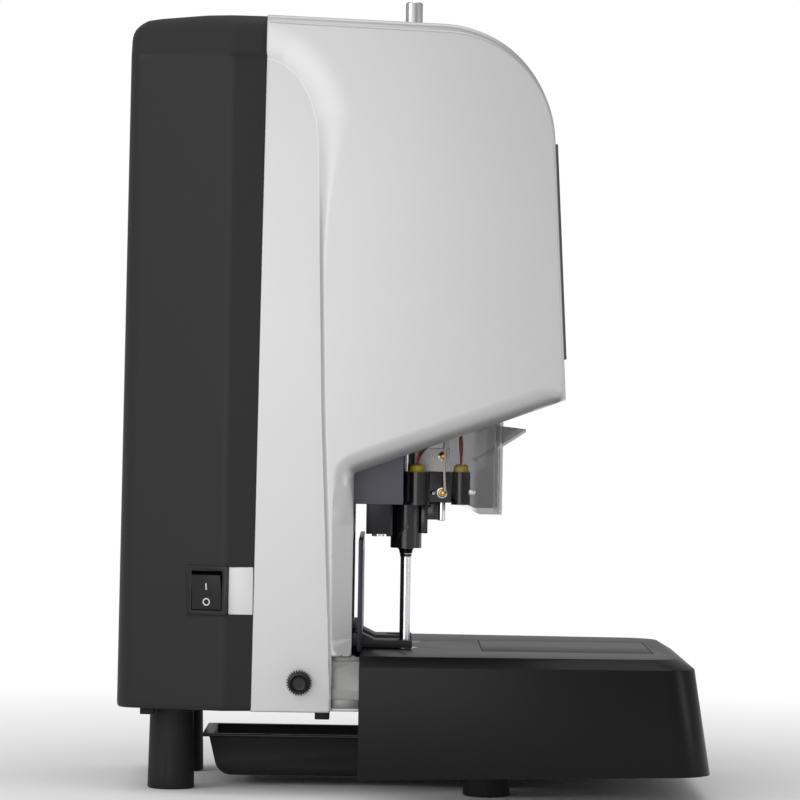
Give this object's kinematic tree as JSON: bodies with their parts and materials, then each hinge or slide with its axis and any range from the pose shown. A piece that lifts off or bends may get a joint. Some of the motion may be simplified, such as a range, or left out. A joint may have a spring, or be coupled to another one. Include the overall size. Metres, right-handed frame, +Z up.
{
  "type": "document riveting machine",
  "caption": "Desk machine that drills thick paper files and binds them with a heated plastic rivet tube, with press foot, fence, tray and guarded head.",
  "frame": {"origin": "centre of the overall box's bottom face, on the desk under the machine", "axes": "+Z up, -Y towards the operator, +X to the operator's right; the side with the knob and the power switch is -X"},
  "size_m": [0.286, 0.3838, 0.5194],
  "materials": {
    "black_moulded_plastic": "satin",
    "black_powder_coat": "satin",
    "silver_paint": "satin metallic",
    "zinc_plated_steel": "plated",
    "ground_steel": "ground",
    "machined_aluminium": "machined",
    "motor_steel": "plated",
    "heater_black": "satin",
    "painted_steel": "satin",
    "white_ceramic": "fired",
    "yellow_tape": "satin",
    "brass_screw": "turned",
    "cutting_nylon": "matte",
    "belt_rubber": "matte",
    "knob_plastic": "satin",
    "tray_plastic": "satin",
    "leg_rubber": "matte",
    "panel_plastic": "satin",
    "window_glass": "clear",
    "start_green": "gloss",
    "stop_red": "gloss",
    "key_grey": "gloss",
    "switch_plastic": "satin",
    "smoked_acrylic": "clear",
    "board_green": "satin",
    "lead_red": "satin",
    "bundle_pink": "satin"
  },
  "bodies": {
    "frame": {"base_cover": "black_moulded_plastic", "base_hatch": "black_moulded_plastic", "rear_cover": "black_powder_coat", "housing_left": "silver_paint", "housing_right": "silver_paint", "fascia": "silver_paint", "chassis_plate": "zinc_plated_steel", "side_rails": "zinc_plated_steel", "table_plate": "zinc_plated_steel", "column_plate": "zinc_plated_steel", "motor_plate": "zinc_plated_steel", "side_frame_left": "zinc_plated_steel", "side_frame_right": "zinc_plated_steel", "tray_hanger": "zinc_plated_steel", "guide_blocks": "zinc_plated_steel", "guide_rods": "ground_steel", "lower_die": "ground_steel", "guard_screws": "ground_steel", "guide_bar": "machined_aluminium", "power_supply": "machined_aluminium", "inlet_sleeve": "machined_aluminium", "lift_motors": "motor_steel", "cutting_pad": "cutting_nylon", "legs": "leg_rubber", "control_panel": "panel_plastic", "display_window": "window_glass", "switch_frame": "switch_plastic", "power_inlet": "switch_plastic", "guard": "smoked_acrylic", "circuit_board": "board_green", "wire_bundle": "bundle_pink"},
    "rivet_unit": {"feed_tube": "ground_steel", "rivet_carriage": "machined_aluminium", "heater_block": "heater_black", "insulator": "white_ceramic", "rivet_hub": "heater_black", "rivet_needle": "ground_steel", "heaters": "heater_black", "heater_caps": "yellow_tape", "terminal_screws": "brass_screw", "heater_leads": "lead_red"},
    "rivet_drive": {"rivet_screw": "ground_steel"},
    "drill_unit": {"drill_carriage": "machined_aluminium", "drill_motor": "motor_steel", "drill_belt": "belt_rubber"},
    "drill_drive": {"drill_screw": "ground_steel"},
    "drill_head": {"drill_spindle": "ground_steel", "drill_chuck": "ground_steel", "drill_bit": "ground_steel"},
    "motor_rotor": {"motor_pulley": "machined_aluminium"},
    "press_foot_body": {"press_foot": "painted_steel"},
    "fence_body": {"fence": "painted_steel"},
    "margin_body": {"margin_shaft": "ground_steel", "margin_knob": "knob_plastic"},
    "tray_body": {"tray": "tray_plastic"},
    "rocker_body": {"switch_rocker": "switch_plastic"},
    "start_body": {"start_key": "start_green"},
    "stop_body": {"stop_key": "stop_red"},
    "up_body": {"up_key": "key_grey"},
    "down_body": {"down_key": "key_grey"}
  },
  "joints": [
    {"name": "rivet_lift", "type": "slide", "parent": "frame", "child": "rivet_unit", "axis": [0, 0, 1], "range_m": [0, 0.055]},
    {"name": "rivet_screw_turn", "type": "hinge", "parent": "frame", "child": "rivet_drive", "pos_m": [-0.032, 0.024, 0.287], "axis": [0, 0, 1], "range_deg": [0, 2475.2]},
    {"name": "drill_feed", "type": "slide", "parent": "frame", "child": "drill_unit", "axis": [0, 0, 1], "range_m": [-0.066, 0]},
    {"name": "drill_screw_turn", "type": "hinge", "parent": "frame", "child": "drill_drive", "pos_m": [0.032, 0.024, 0.287], "axis": [0, 0, 1], "range_deg": [-2970.2, 0]},
    {"name": "drill_spin", "type": "hinge", "parent": "drill_unit", "child": "drill_head", "pos_m": [0.032, 0.0054, 0.254], "axis": [0, 0, 1], "continuous": true},
    {"name": "motor_spin", "type": "hinge", "parent": "drill_unit", "child": "motor_rotor", "pos_m": [0.032, 0.056, 0.334], "axis": [0, 0, 1], "continuous": true},
    {"name": "press_foot_lift", "type": "slide", "parent": "frame", "child": "press_foot_body", "axis": [0, 0, 1], "range_m": [0, 0.05]},
    {"name": "margin_turn", "type": "hinge", "parent": "frame", "child": "margin_body", "pos_m": [0, 0.0731, 0.073], "axis": [1, 0, 0], "range_deg": [0, 107.5]},
    {"name": "fence_slide", "type": "slide", "parent": "frame", "child": "fence_body", "axis": [0, -1, 0], "range_m": [0, 0.015]},
    {"name": "tray_slide", "type": "slide", "parent": "frame", "child": "tray_body", "axis": [0, 1, 0], "range_m": [0, 0.12]},
    {"name": "power_rocker", "type": "hinge", "parent": "frame", "child": "rocker_body", "pos_m": [-0.10435, 0.13168, 0.1312], "axis": [0.2648, 0.9643, 0], "range_deg": [0, 14]},
    {"name": "start_press", "type": "slide", "parent": "frame", "child": "start_body", "axis": [0, 1, 0], "range_m": [0, 0.0012], "stiffness_N_per_m": 600, "springref_m": -0.0004},
    {"name": "stop_press", "type": "slide", "parent": "frame", "child": "stop_body", "axis": [0, 1, 0], "range_m": [0, 0.0012], "stiffness_N_per_m": 600, "springref_m": -0.0004},
    {"name": "up_press", "type": "slide", "parent": "frame", "child": "up_body", "axis": [0, 1, 0], "range_m": [0, 0.0012], "stiffness_N_per_m": 600, "springref_m": -0.0004},
    {"name": "down_press", "type": "slide", "parent": "frame", "child": "down_body", "axis": [0, 1, 0], "range_m": [0, 0.0012], "stiffness_N_per_m": 600, "springref_m": -0.0004}
  ],
  "couplings": [
    {"joint": "rivet_screw_turn", "follows": "rivet_lift", "rad_per_m": 785.4},
    {"joint": "drill_screw_turn", "follows": "drill_feed", "rad_per_m": 785.4},
    {"joint": "motor_spin", "follows": "drill_spin", "ratio": 0.8},
    {"joint": "margin_turn", "follows": "fence_slide", "rad_per_m": 125}
  ]
}
